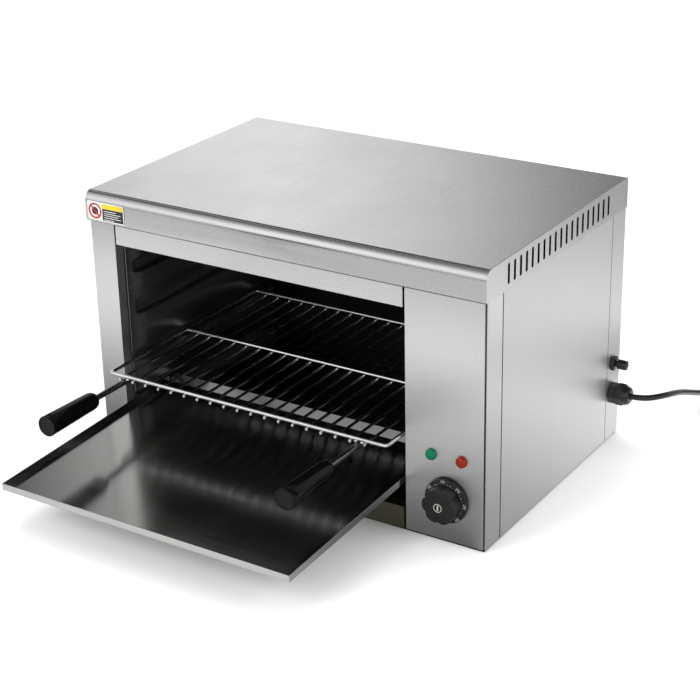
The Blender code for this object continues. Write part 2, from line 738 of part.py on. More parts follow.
def make_cord():
    tube("power_cord", smooth_path(CORD_ROUTE, 2), CORD_RADIUS, "black_rubber")
    x, y = COIL_CENTRE
    outer = COIL_OUTER + CORD_RADIUS + 0.3
    inner = COIL_OUTER - 3 * COIL_PITCH - CORD_RADIUS - 0.3
    two = 2 * COIL_PITCH + 0.3
    three = 3 * COIL_PITCH + 0.3
    step = outer - 2.2 * COIL_PITCH
    section = [(inner, two), (step, two), (step, three), (outer, three), (outer, 0), (inner, 0)]
    turned("cord_coil", section, (x, y, 0), "Z", "black_rubber", 32, ring=True)
    tail = x + COIL_OUTER
    top = CORD_RADIUS + 2 * COIL_PITCH
    last = [(tail, 444.0, top), (tail, 438.0, top + 0.8), (tail, 431.0, PLUG_RADIUS - 0.4)]
    last += [(tail, PLUG_Y + 0.3, PLUG_RADIUS)]
    tube("cord_end", smooth_path(last, 2), CORD_RADIUS, "black_rubber")
    make_plug(tail)


def make_plug(x):
    """A round two-pin mains plug on its side, its sleeve towards the coil."""
    sleeve = [(0, 64), (16.5, 64), (18.5, 62.4), (18.5, 44), (17.4, 37), (13, 30), (7.4, 27)]
    sleeve += [(4.9, 0), (0, 0)]
    plug = turned("power_plug", sleeve, (x, PLUG_Y, PLUG_RADIUS), "-Y", "black_rubber", 24)
    face = PLUG_Y - 64
    pins = [(x - 9.5, PLUG_RADIUS), (x + 9.5, PLUG_RADIUS)]
    combine(plug, bars("plug_pins", pins, "Y", 2.4, face - 19, face + 3, segments=10), "UNION")


def main():
    make_base_and_rail()
    make_posts()
    make_side_panels()
    make_rear_panel()
    make_cover()
    make_control_panel()
    make_label()
    make_chamber()
    make_elements()
    make_thermostat()
    make_knob()
    make_lamps()
    make_reset()
    make_gland()
    make_wiring()
    make_rack()
    make_tray()
    make_cord()


main()
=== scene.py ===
"""Looks for the countertop salamander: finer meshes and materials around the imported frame.

Sizes are in millimetres, measured like the frame's: x to the right of the casing's middle, y back
from the plane of the front posts, z up from the underside; place() turns them into the row frame.
"""
import json
import math

import bmesh
import bpy
from mathutils import Matrix, Vector

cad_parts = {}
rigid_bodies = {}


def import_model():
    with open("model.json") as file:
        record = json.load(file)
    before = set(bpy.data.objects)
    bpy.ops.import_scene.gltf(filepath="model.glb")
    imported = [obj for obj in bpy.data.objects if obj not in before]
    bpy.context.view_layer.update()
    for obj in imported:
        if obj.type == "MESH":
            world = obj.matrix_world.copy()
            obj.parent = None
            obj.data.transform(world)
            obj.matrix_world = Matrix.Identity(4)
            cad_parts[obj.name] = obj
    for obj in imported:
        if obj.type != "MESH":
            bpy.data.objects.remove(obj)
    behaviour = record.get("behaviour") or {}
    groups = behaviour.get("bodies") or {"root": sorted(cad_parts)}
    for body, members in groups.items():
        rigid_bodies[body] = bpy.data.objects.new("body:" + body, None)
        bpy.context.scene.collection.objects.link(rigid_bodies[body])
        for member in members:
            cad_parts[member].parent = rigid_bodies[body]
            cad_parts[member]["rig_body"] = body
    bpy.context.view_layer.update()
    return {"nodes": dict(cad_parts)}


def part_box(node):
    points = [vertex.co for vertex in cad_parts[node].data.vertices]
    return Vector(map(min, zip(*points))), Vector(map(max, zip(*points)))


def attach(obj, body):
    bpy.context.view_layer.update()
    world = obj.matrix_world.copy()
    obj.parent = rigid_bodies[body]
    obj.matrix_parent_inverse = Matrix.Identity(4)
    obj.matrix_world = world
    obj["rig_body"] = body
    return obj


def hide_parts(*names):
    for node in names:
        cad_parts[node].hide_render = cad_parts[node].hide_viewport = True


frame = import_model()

NODES = frame["nodes"]
MM = 0.001
SAME_POINT = 0.0000005  # corners closer than this are one corner, in metres
SHARP = 32.0  # edges stay crisp where small pieces turn by more than this, in degrees
FRONT_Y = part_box("front_rail")[0].y  # the front plane, in the row frame
# the two axes of a drawing plane and the axis of its depth, by the way the depth runs
FRAMES = {
    "X": ((0, 1, 0), (0, 0, 1), (1, 0, 0)),
    "-Y": ((1, 0, 0), (0, 0, 1), (0, -1, 0)),
}


def place(point):
    return Vector((point[0] * MM, point[1] * MM + FRONT_Y, point[2] * MM))


def frame_at(centre, way):
    return Matrix.Translation(centre) @ Matrix(FRAMES[way]).transposed().to_4x4()


# --- camera -----------------------------------------------------------------------------------
CAMERA_PLACE = (876.1, -1231.2, 819.2)
CAMERA_TURN = (-33.0, 22.84, -1.28)  # azimuth, downward tilt and roll, in degrees
CAMERA_LENS = 89.0
CAMERA_SHIFT = (0.0062, -0.0404)


def make_camera():
    """Above the right front corner, looking down at the open front."""
    azimuth, tilt, roll = (math.radians(angle) for angle in CAMERA_TURN)
    level = (math.cos(tilt) * math.sin(azimuth), math.cos(tilt) * math.cos(azimuth))
    ahead = Vector((*level, -math.sin(tilt)))
    right = ahead.cross(Vector((0, 0, 1))).normalized()
    up = right.cross(ahead)
    turned_right = right * math.cos(roll) + up * math.sin(roll)
    turned_up = up * math.cos(roll) - right * math.sin(roll)
    data = bpy.data.cameras.new("camera")
    data.lens = CAMERA_LENS
    data.shift_x, data.shift_y = CAMERA_SHIFT
    camera = bpy.data.objects.new("camera", data)
    bpy.context.scene.collection.objects.link(camera)
    rows = Matrix((turned_right, turned_up, -ahead)).transposed().to_4x4()
    camera.matrix_world = Matrix.Translation(place(CAMERA_PLACE)) @ rows
    bpy.context.scene.camera = camera


# --- material helpers -------------------------------------------------------------------------
EVEN = (1.0, 1.0, 1.0)
GRAINS = {"X": (0.012, 1.0, 1.0), "Y": (1.0, 0.012, 1.0), "Z": (1.0, 1.0, 0.012)}
# colour of the painted shadow in the joints between parts
PAINTED_JOINT_SHADE = (0.03, 0.03, 0.03)
# colour of the painted shade over the back of the drip tray, inside the chamber
PAINTED_REAR_SHADE = (0.17, 0.165, 0.16)


def node(tree, kind, **settings):
    made = tree.nodes.new("ShaderNode" + kind)
    for key, value in settings.items():
        setattr(made, key, value)
    return made


def join(tree, source, target, out=0, into=0):
    tree.links.new(source.outputs[out], target.inputs[into])


def feed(tree, socket, value):
    """Give a socket a number, a node's first output, or a (node, output) pair."""
    if isinstance(value, (int, float)):
        socket.default_value = value
    else:
        source, out = value if isinstance(value, tuple) else (value, 0)
        tree.links.new(source.outputs[out], socket)


def maths(tree, operation, *values):
    made = node(tree, "Math", operation=operation)
    for socket, value in zip(made.inputs, values):
        feed(tree, socket, value)
    return made


def mixed(tree, factor, first, second):
    """The first value at factor 0, the second at factor 1."""
    made = node(tree, "Mix", data_type="FLOAT")
    for key, value in (("Factor", factor), ("A", first), ("B", second)):
        feed(tree, made.inputs[key], value)
    return made


def ranged(tree, value, old, new=(0.0, 1.0), **settings):
    """The value moved from one range to another."""
    span = node(tree, "MapRange", **settings)
    for key, limit in zip(("From Min", "From Max", "To Min", "To Max"), (*old, *new)):
        span.inputs[key].default_value = limit
    feed(tree, span.inputs[0], value)
    return span


def coordinates(tree):
    """The piece's own coordinates, one output for each axis."""
    where = node(tree, "TexCoord")
    parts = node(tree, "SeparateXYZ")
    join(tree, where, parts, "Object")
    return parts


def principled(name, colour, roughness, metallic=0.0, **sockets):
    material = bpy.data.materials.new(name)
    material.use_nodes = True
    shader = material.node_tree.nodes["Principled BSDF"]
    shader.inputs["Base Color"].default_value = (*colour, 1.0)
    shader.inputs["Roughness"].default_value = roughness
    shader.inputs["Metallic"].default_value = metallic
    for key, value in sockets.items():
        shader.inputs[key.replace("_", " ").title().replace("Ior", "IOR")].default_value = value
    return material, material.node_tree, shader


def stretched_noise(tree, scale, stretch, detail, seed=0.0):
    """Noise in the piece's own coordinates, drawn out along the axis with the small stretch."""
    where = node(tree, "TexCoord")
    mapping = node(tree, "Mapping")
    mapping.inputs["Location"].default_value = (seed, seed * 0.7, seed * 1.3)
    mapping.inputs["Scale"].default_value = stretch
    noise = node(tree, "TexNoise")
    noise.inputs["Scale"].default_value = scale
    noise.inputs["Detail"].default_value = detail
    join(tree, where, mapping, "Object")
    join(tree, mapping, noise)
    return noise


def spread(tree, noise, low, high):
    """The noise's middle range, moved to low..high."""
    return ranged(tree, (noise, "Fac"), (0.3, 0.7), (low, high))


def tinted(tree, shader, noise, colour, darkest, lightest):
    """Base colour that wanders with the noise between two strengths of one colour."""
    mix = node(tree, "Mix", data_type="RGBA")
    for key, strength in (("A", darkest), ("B", lightest)):
        shade = [min(1.0, part * strength) for part in colour]
        mix.inputs[key].default_value = (*shade, 1.0)
    join(tree, spread(tree, noise, 0.0, 1.0), mix, 0, "Factor")
    tree.links.new(mix.outputs["Result"], shader.inputs["Base Color"])


def bumped(tree, shader, noise, strength, distance):
    bump = node(tree, "Bump")
    bump.inputs["Strength"].default_value = strength
    bump.inputs["Distance"].default_value = distance
    join(tree, noise, bump, "Fac", "Height")
    join(tree, bump, shader, "Normal", "Normal")


def brushed(name, colour, roughness, grain, contrast=0.025, anisotropy=0.85, streak=1100.0):
    """Brushed sheet: fine lines along the grain, with faint wider clouds of handling."""
    material, tree, shader = principled(name, colour, roughness, 1.0, anisotropic=anisotropy)
    tangent = node(tree, "Tangent", direction_type="RADIAL", axis="X" if grain == "X" else "Z")
    join(tree, tangent, shader, "Tangent", "Tangent")
    lines = stretched_noise(tree, streak, GRAINS[grain], 3.0, 0.31)
    clouds = stretched_noise(tree, 14.0, EVEN, 2.0, 0.77)
    fine = spread(tree, lines, roughness - 0.02, roughness + 0.02)
    broad = spread(tree, clouds, -0.012, 0.015)
    join(tree, maths(tree, "ADD", fine, broad), shader, 0, "Roughness")
    tinted(tree, shader, lines, colour, 1 - contrast, 1 + contrast)
    bumped(tree, shader, lines, 0.015, 0.00002)
    return material


def mix_in_painted_shade(material, amount, shade):
    """Paint shade into the base colour: mix it towards a plain dark shade, by a 0..1 value."""
    tree = material.node_tree
    shader = tree.nodes["Principled BSDF"]
    plain = shader.inputs["Base Color"].links[0].from_socket
    mix = node(tree, "Mix", data_type="RGBA")
    join(tree, amount, mix, 0, "Factor")
    tree.links.new(plain, mix.inputs["A"])
    mix.inputs["B"].default_value = (*shade, 1.0)
    tree.links.new(mix.outputs["Result"], shader.inputs["Base Color"])
    return material


def paint_joint_shade(material, *shade_bands):
    """Painted shade at joints: the sheet darkened in bands, given as (axis, middle, half width)."""
    tree = material.node_tree
    parts = coordinates(tree)
    painted_shade_mask = None
    for axis, middle, half in shade_bands:
        centre = place((middle, middle, middle))["XYZ".index(axis)]
        near = maths(tree, "COMPARE", (parts, axis), centre, half * MM)
        painted_shade_mask = near if painted_shade_mask is None else maths(tree, "MAXIMUM", painted_shade_mask, near)
    return mix_in_painted_shade(material, painted_shade_mask, PAINTED_JOINT_SHADE)


def paint_rear_shade(material, front, back):
    """Painted shade: the sheet darkens towards its back edge, which lies in the chamber."""
    tree = material.node_tree
    reach = (place((0, front, 0)).y, place((0, back, 0)).y)
    rear_shade_mask = ranged(tree, (coordinates(tree), "Y"), reach, interpolation_type="SMOOTHSTEP")
    return mix_in_painted_shade(material, rear_shade_mask, PAINTED_REAR_SHADE)


def moulded(name, colour, roughness, texture=1500.0, bump=0.12, **sockets):
    """Moulded plastic or rubber: a fine pebbled skin and faint uneven gloss."""
    material, tree, shader = principled(name, colour, roughness, 0.0, **sockets)
    grain = stretched_noise(tree, texture, EVEN, 2.0, 0.2)
    smears = stretched_noise(tree, 60.0, EVEN, 3.0, 0.9)
    gloss = spread(tree, smears, roughness - 0.05, roughness + 0.07)
    join(tree, gloss, shader, 0, "Roughness")
    tinted(tree, shader, smears, colour, 0.88, 1.15)
    bumped(tree, shader, grain, bump, 0.00005)
    return material


def hazed(name, colour, low, high, scale, stretch=EVEN):
    """Bare or plated metal whose gloss wanders between two roughnesses."""
    material, tree, shader = principled(name, colour, low, 1.0)
    haze = stretched_noise(tree, scale, stretch, 3.0)
    join(tree, spread(tree, haze, low, high), shader, 0, "Roughness")
    tinted(tree, shader, haze, colour, 0.9, 1.06)
    return material


# --- mesh helpers -----------------------------------------------------------------------------
def show(name, data, material, matrix=None):
    obj = bpy.data.objects.new(name, data)
    bpy.context.scene.collection.objects.link(obj)
    obj.data.materials.clear()
    obj.data.materials.append(material)
    if matrix is not None:
        obj.matrix_world = matrix
    return obj


def put(obj, body, slot, *replaced):
    """Hand a finished piece to the frame."""
    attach(obj, body)
    if replaced:
        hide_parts(*replaced)
    return obj


def dress(name, material):
    """Give a carried-over CAD node its material."""
    data = NODES[name].data
    data.materials.clear()
    data.materials.append(material)


def mesh_from(bm, name, smooth=None):
    mesh = bpy.data.meshes.new(name)
    bm.to_mesh(mesh)
    bm.free()
    if smooth is not None:
        soften(mesh, smooth)
    return mesh


def soften(mesh, angle):
    """Smooth shading, crisp where faces turn by more than the angle."""
    mesh.shade_smooth()
    mesh.set_sharp_from_angle(angle=math.radians(angle))


def keep_normals(obj):
    """Flat faces stay flat beside their rounded edges."""
    weighted = obj.modifiers.new("normals", "WEIGHTED_NORMAL")
    weighted.keep_sharp = True
    weighted.weight = 100


def evaluated(obj):
    """The object's mesh, with its outline filled or its modifiers applied."""
    bpy.context.view_layer.update()
    graph = bpy.context.evaluated_depsgraph_get()
    return bpy.data.meshes.new_from_object(obj.evaluated_get(graph))


def bake(obj, smooth):
    """Apply an object's modifiers to its mesh."""
    mesh = evaluated(obj)
    obj.modifiers.clear()
    obj.data = mesh
    soften(mesh, smooth)


def curve_mesh(name, curve):
    obj = bpy.data.objects.new(name, curve)
    bpy.context.scene.collection.objects.link(obj)
    mesh = evaluated(obj)
    bpy.data.objects.remove(obj)
    return mesh


def welded(mesh):
    """The mesh as a bmesh, with its doubled corners joined and its faces turned outward."""
    bm = bmesh.new()
    bm.from_mesh(mesh)
    bpy.data.meshes.remove(mesh)
    bmesh.ops.remove_doubles(bm, verts=bm.verts, dist=SAME_POINT)
    bmesh.ops.recalc_face_normals(bm, faces=bm.faces)
    return bm


def flattened(bm):
    """Join the faces that lie in one plane."""
    bmesh.ops.dissolve_limit(
        bm, angle_limit=math.radians(1.0), verts=bm.verts, edges=bm.edges
    )
    return bm


def poly_curve(name, dimensions, points, cyclic):
    curve = bpy.data.curves.new(name, "CURVE")
    curve.dimensions = dimensions
    spline = curve.splines.new("POLY")
    spline.points.add(len(points) - 1)
    for item, point in zip(spline.points, points):
        item.co = (*point, 1.0)
    spline.use_cyclic_u = cyclic
    return curve


def round_curve(name, points, radius, resolution, cyclic=False):
    """A round bar along the points, its ends closed."""
    curve = poly_curve(name, "3D", [place(point) for point in points], cyclic)
    curve.bevel_depth = radius * MM
    curve.bevel_resolution = resolution
    curve.use_fill_caps = not cyclic
    return curve


def turned(name, profile, centre, way, material, steps):
    """A lathe shape: (radius, distance) pairs down its outer side, turned about an axis."""
    bm = bmesh.new()
    verts = [bm.verts.new((r * MM, 0.0, s * MM)) for r, s in profile]
    for pair in zip(verts, verts[1:]):
        bm.edges.new(pair)
    bmesh.ops.spin(
        bm,
        geom=bm.verts[:] + bm.edges[:],
        cent=(0, 0, 0),
        axis=(0, 0, 1),
        angle=2 * math.pi,
        steps=steps,
        use_merge=True,
    )
    bmesh.ops.remove_doubles(bm, verts=bm.verts, dist=SAME_POINT)
    bmesh.ops.recalc_face_normals(bm, faces=bm.faces)
    return show(name, mesh_from(bm, name, SHARP), material, frame_at(place(centre), way))


def outline_mesh(name, outline, length):
    """A welded mesh of a flat outline drawn out from z = 0 to its length."""
    curve = poly_curve(name, "2D", [(u * MM, v * MM, 0.0) for u, v in outline], True)
    curve.fill_mode = "BOTH"
    curve.extrude = length * MM / 2
    bm = welded(curve_mesh(name, curve))
    bmesh.ops.translate(bm, verts=bm.verts, vec=(0, 0, length * MM / 2))
    return bm


def outlined(name, outline, centre, way, length, material, edge=0.0):
    """A flat outline drawn out along an axis, its rims rounded by `edge`."""
    bm = flattened(outline_mesh(name, outline, length))
    if edge:
        rims = [e for e in bm.edges if e.calc_face_angle(0.0) > math.radians(60)]
        bmesh.ops.bevel(
            bm, geom=rims, offset=edge * MM, segments=3, profile=0.5, affect="EDGES"
        )
    return show(name, mesh_from(bm, name, SHARP), material, frame_at(place(centre), way))


def wire(name, points, radius, material, cyclic=False, resolution=4):
    """A round wire as a mesh, its ends closed."""
    bm = welded(curve_mesh(name, round_curve(name, points, radius, resolution, cyclic)))
    return show(name, mesh_from(bm, name, 50.0), material)


def merged(name, pieces, material):
    """Several meshes as one object."""
    bm = bmesh.new()
    for piece in pieces:
        piece.data.transform(piece.matrix_world)
        bm.from_mesh(piece.data)
        bpy.data.objects.remove(piece)
    return show(name, mesh_from(bm, name, 50.0), material)


def cad_shape(name):
    """The CAD piece as a bmesh, with its flat faces whole."""
    bm = bmesh.new()
    bm.from_mesh(NODES[name].data)
    bmesh.ops.remove_doubles(bm, verts=bm.verts, dist=2 * SAME_POINT)
    return flattened(bm)


def folded(node_name, width, material, slot):
    """The CAD sheet with its folds and cut edges rounded."""
    bm = cad_shape(node_name)
    edges = [e for e in bm.edges if e.calc_face_angle(0.0) > math.radians(30)]
    bmesh.ops.bevel(
        bm, geom=edges, offset=width * MM, segments=3, profile=0.5,
        affect="EDGES", clamp_overlap=True,
    )
    bmesh.ops.triangulate(bm, faces=[f for f in bm.faces if len(f.verts) > 4])
    obj = show(node_name + "_sheet", mesh_from(bm, node_name + "_sheet", 40.0), material)
    keep_normals(obj)
    put(obj, NODES[node_name]["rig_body"], slot, node_name)


def softened(name, material):
    """A moulded CAD piece with its corners softened."""
    bm = cad_shape(name)
    obj = show(name + "_moulding", mesh_from(bm, name + "_moulding", 30.0), material)
    soft = obj.modifiers.new("soft", "BEVEL")
    soft.width = 0.00035
    soft.segments = 2
    soft.limit_method = "ANGLE"
    soft.angle_limit = math.radians(SHARP)
    put(obj, "root", "nylon_black", name)


# --- curves -----------------------------------------------------------------------------------
def rise(t, start, end):
    """0 before start, 1 after end, and a smooth ramp between."""
    s = min(1.0, max(0.0, (t - start) / (end - start)))
    return s * s * (3 - 2 * s)


def arc(centre, radius, first, last, steps):
    points = []
    for i in range(steps + 1):
        angle = math.radians(first + (last - first) * i / steps)
        points.append((centre[0] + radius * math.cos(angle), centre[1] + radius * math.sin(angle)))
    return points


def smooth_path(points, steps):
    """A smooth curve through the points, with `steps` stretches between each two of them."""
    rows = [Vector(p) for p in points]
    rows = [2 * rows[0] - rows[1], *rows, 2 * rows[-1] - rows[-2]]
    path = []
    for before, start, end, after in zip(rows, rows[1:], rows[2:], rows[3:]):
        for i in range(steps):
            t = i / steps
            path.append(
                0.5
                * (
                    2 * start
                    + (end - before) * t
                    + (2 * before - 5 * start + 4 * end - after) * t**2
                    + (3 * start - before - 3 * end + after) * t**3
                )
            )
    return [*path, rows[-2]]


# --- supply cord ------------------------------------------------------------------------------
CORD_DIAMETER = 6.2
CORD_ROUTE = [
    (240.0, 272.0, 53.4),
    (247.0, 272.0, 53.4),
    (255.0, 272.5, 53.9),
    (262.5, 274.5, 54.5),
    (269.0, 279.0, 54.9),
    (274.0, 287.0, 54.4),
    (277.0, 297.0, 52.7),
    (278.3, 310.0, 49.3),
    (278.5, 325.0, 44.3),
    (278.2, 340.0, 38.4),
    (277.8, 355.0, 31.9),
    (277.4, 370.0, 25.4),
    (277.0, 385.0, 19.0),
    (276.2, 400.0, 13.0),
    (274.8, 415.0, 7.9),
    (272.8, 430.0, 4.4),
    (271.0, 442.0, 3.2),
    (270.2, 456.0, 3.2),
]
COIL_CENTRE = (315.6, 470.0)
COIL_OUTER = 45.5
COIL_PITCH = 6.3
COIL_FLOOR = 3.2
COIL_LAYER = 3.0  # turns in each layer of the coil
COIL_TURNS = 6.5
COIL_CLIMBS = ((2.75, 3.3), (5.8, 6.35))  # the turns where the cord climbs onto the next layer
TURN_POINTS = 16
PLUG_Y = 425.0
PLUG_RADIUS = 18.5


def coil_point(t):
    """The cord after t turns: three turns inward, three outward on top, then half a turn more."""
    inward = min(t, COIL_LAYER)
    outward = min(max(t - COIL_LAYER, 0.0), COIL_LAYER)
    radius = COIL_OUTER - COIL_PITCH * (inward - outward)
    height = COIL_FLOOR + COIL_PITCH * sum(rise(t, *climb) for climb in COIL_CLIMBS)
    angle = math.pi * (1 - 2 * t)
    x = COIL_CENTRE[0] + radius * math.cos(angle)
    y = COIL_CENTRE[1] + radius * math.sin(angle)
    return (x, y, height)


def cord_points():
    coil = [coil_point(i / TURN_POINTS) for i in range(int(COIL_TURNS * TURN_POINTS) + 1)]
    tail = COIL_CENTRE[0] + COIL_OUTER
    top = COIL_FLOOR + 2 * COIL_PITCH
    end = [(tail, 457.0, top), (tail, 444.0, top + 0.2), (tail, 433.0, PLUG_RADIUS - 0.6)]
    end += [(tail, PLUG_Y, PLUG_RADIUS)]
    return smooth_path([*CORD_ROUTE, *coil, *end], 4)


def make_cord(plug):
    points = cord_points()
    curve = round_curve("supply_cord", points, CORD_DIAMETER / 2, 5)
    material = moulded("cord_sheath", (0.005, 0.005, 0.0055), 0.3, 700.0, 0.04)
    cord = show("supply_cord", curve, material)
    put(cord, "root", "cord_black", "power_cord", "cord_coil", "cord_end")


def make_plug():
    """A round two-pin plug on its side, with its ribbed sleeve towards the coil."""
    tail = (COIL_CENTRE[0] + COIL_OUTER, PLUG_Y, PLUG_RADIUS)
    body = [(0, 64), (15.8, 64), (17.6, 63.4), (18.5, 61.8), (18.5, 45), (18.0, 40), (16, 34.5)]
    body += [(12.4, 30), (9.0, 27.6), (7.4, 26)]
    for i in range(8):
        s = 25.0 - 3.0 * i
        wide = 7.2 - 0.3 * i
        body += [(wide, s), (wide, s - 1.5), (wide - 0.9, s - 1.8), (wide - 0.9, s - 2.6)]
    body += [(4.2, 0.5), (3.9, 0), (0, 0)]
    black = moulded("plug_plastic", (0.013, 0.013, 0.014), 0.38)
    plug = turned("plug_body", body, tail, "-Y", black, 72)
    put(plug, "root", "plug_black", "power_plug")
    bright = hazed("pin_metal", (0.75, 0.72, 0.66), 0.18, 0.3, 300.0)
    pin = [(0, 82.6), (1.6, 82.6), (2.3, 81.6), (2.4, 80), (2.4, 63), (0, 63)]
    pieces = [plug]
    for side, shift in (("left", -9.5), ("right", 9.5)):
        centre = (tail[0] + shift, tail[1], tail[2])
        made = turned(f"plug_pin_{side}", pin, centre, "-Y", bright, 32)
        pieces.append(put(made, "root", "plug_black"))
    return pieces


# --- casing -----------------------------------------------------------------------------------
STEEL = (0.66, 0.66, 0.655)
COVER_HALF = 225.1
COVER_REAR = 290.9
COVER_TOP = 280.0
COVER_BOTTOM = 249.6
NOSE_FRONT = -5.0
NOSE_RADIUS = 10.0
NOSE_START = math.radians(102)  # the roll starts with a slight crease
TURN_UNDER = 1.5
COVER_SHEET = 0.8
VENT_COUNT = 19
VENT_FIRST, VENT_PITCH = 36.5, 11.6
VENT_MIDDLE = 264.65
VENT_HALF = 8.05  # half the straight part of a vent
VENT_RADIUS = 2.05
CUT_MARGIN = 5.0  # how far the vents' cutting shape reaches past each side
RIM_RADIUS = 0.9
MOUTH = NOSE_FRONT + 4.6  # the hollow is open below from here back
MOUTH_BOTTOM = COVER_BOTTOM - 10.0


def cover_outline(inset, bottom, mouth):
    """Side view of the cover: rear, flat top, rolled nose, and the small turn under it."""
    top = COVER_TOP - inset
    roll = (NOSE_FRONT + NOSE_RADIUS, COVER_TOP - NOSE_RADIUS * math.sin(NOSE_START))
    foot = (NOSE_FRONT + TURN_UNDER, COVER_BOTTOM + TURN_UNDER)
    outline = [(COVER_REAR + inset * 2, bottom), (COVER_REAR + inset * 2, top)]
    outline += arc(roll, NOSE_RADIUS - inset, math.degrees(NOSE_START), 180, 24)
    outline += arc(foot, TURN_UNDER - inset, 180, 270, 6)
    if mouth:
        outline += [(mouth, COVER_BOTTOM + inset), (mouth, bottom)]
    return outline


def is_side_rim(edge):
    """Whether an edge follows a side of the cover, apart from its foot and its rear."""
    ends = [v.co for v in edge.verts]
    return (
        edge.calc_face_angle(0.0) > math.radians(60)
        and abs(ends[0].z - ends[1].z) < 1e-6
        and not all(abs(end.y * 1000 - COVER_BOTTOM) < 0.01 for end in ends)
        and not all(abs(end.x * 1000 - COVER_REAR) < 0.01 for end in ends)
    )


def cover_shell(material):
    """The cover as a solid block with rounded sides."""
    bm = outline_mesh("cover", cover_outline(0.0, COVER_BOTTOM, None), 2 * COVER_HALF)
    rims = [e for e in bm.edges if is_side_rim(e)]
    bmesh.ops.bevel(bm, geom=rims, offset=RIM_RADIUS * MM, segments=4, profile=0.5, affect="EDGES")
    mesh = mesh_from(bm, "vented_cover")
    return show("vented_cover", mesh, material, frame_at(place((-COVER_HALF, 0, 0)), "X"))


def cover_hollow(material):
    """The space inside the cover's sheet, open at the bottom."""
    outline = cover_outline(COVER_SHEET, MOUTH_BOTTOM, MOUTH)
    half = COVER_HALF - COVER_SHEET
    mesh = mesh_from(outline_mesh("inside", outline, 2 * half), "cover_hollow")
    return show("cover_hollow", mesh, material, frame_at(place((-half, 0, 0)), "X"))


def cover_slots(material):
    """The row of vents, through both flanges at once."""
    reach = COVER_HALF + CUT_MARGIN
    slots = bmesh.new()
    for i in range(VENT_COUNT):
        y = VENT_FIRST + VENT_PITCH * i
        outline = arc((y, VENT_MIDDLE + VENT_HALF), VENT_RADIUS, 0, 180, 12)
        outline += arc((y, VENT_MIDDLE - VENT_HALF), VENT_RADIUS, 180, 360, 12)
        mesh = mesh_from(outline_mesh("slot", outline, 2 * reach), "slot")
        slots.from_mesh(mesh)
        bpy.data.meshes.remove(mesh)
    mesh = mesh_from(slots, "cover_slots")
    return show("cover_slots", mesh, material, frame_at(place((-reach, 0, 0)), "X"))


def make_cover(material, painted_inside_shade):
    """The cover with soft folds, hollow below, its inside and cut faces near-black as painted
    shade.
    """
    cover = cover_shell(material)
    tools = (cover_hollow(painted_inside_shade), cover_slots(painted_inside_shade))
    for tool in tools:
        cut = cover.modifiers.new("cut", "BOOLEAN")
        cut.operation = "DIFFERENCE"
        cut.material_mode = "TRANSFER"
        cut.object = tool
    bake(cover, 35.0)
    for tool in tools:
        bpy.data.objects.remove(tool)
    keep_normals(cover)
    put(cover, "root", "steel", "top_cover")


def make_casing():
    # near-black steel: painted shade inside the cover, in its vents and on the base pan
    painted_inside_shade = brushed("inner_steel_painted_shade", (0.007, 0.007, 0.0065), 0.5, "X")
    # painted shadow bands: under the cover's flange, and at the joints of posts, side panels and
    # rear strip
    flange_shadow = ("Z", COVER_BOTTOM - 1.0, 1.2)
    make_cover(brushed("cover_steel", STEEL, 0.27, "X"), painted_inside_shade)
    crossbar = paint_joint_shade(brushed("crossbar_steel", (0.76, 0.76, 0.755), 0.28, "X"), flange_shadow)
    folded("crossbar", 0.35, crossbar, "steel")
    # the front rail's dark brownish colour is painted shade under the drip tray
    folded("front_rail", 0.35, brushed("rail_steel_painted_shade", (0.17, 0.165, 0.115), 0.3, "X"), "steel")
    side_flange_shadow = ("Z", COVER_BOTTOM - 0.4, 0.6)
    post = paint_joint_shade(brushed("post_steel", STEEL, 0.34, "Z"), side_flange_shadow, ("Y", 28.8, 0.5))
    side = paint_joint_shade(
        brushed("side_steel", STEEL, 0.42, "Z", anisotropy=0.6),
        side_flange_shadow, ("Y", 29.5, 0.5), ("Y", 261.0, 0.6),
    )
    for name in ("left", "right"):
        folded(f"{name}_post", 0.35, post, "steel")
        folded(f"{name}_side_panel", 0.35, side, "steel")
    rear = brushed("rear_steel", STEEL, 0.42, "Z", anisotropy=0.6)
    folded("rear_panel", 0.35, rear, "steel")
    panel = paint_joint_shade(brushed("panel_steel", (0.70, 0.70, 0.70), 0.38, "Z", anisotropy=0.8), flange_shadow)
    folded("control_panel", 0.3, panel, "panel_steel")
    dress("base_pan", painted_inside_shade)


# --- chamber ----------------------------------------------------------------------------------
WALL_FRONT = 13.2
WALL_BOTTOM, WALL_TOP, WALL_BACK = 23.9, 248.9, 261.9
WALL_LEFT = -189.5
FRONT_EDGE = -194.3  # where the wall's front edge ends up, turned out to the opening
TURN_OUT = 24.0
WALL_SHEET = 0.8
GROOVE = 5.7
SHOULDER = 4.0
# each runner's lower edge, its upper edge, and how far back its closed front reaches
RUNNERS = ((36, 62.5, 0), (91, 108, 0), (143, 162, 12), (188, 205, 12))


def pressed(y, z):
    """How far the wall is pressed outward at a place: level runners with soft shoulders."""
    depth = 0.0
    for low, high, closed in RUNNERS:
        across = rise(z, low, low + SHOULDER) * (1 - rise(z, high - SHOULDER, high))
        if closed:
            across *= rise(y, WALL_FRONT + SHOULDER, WALL_FRONT + SHOULDER + closed)
        depth = max(depth, across)
    return GROOVE * depth


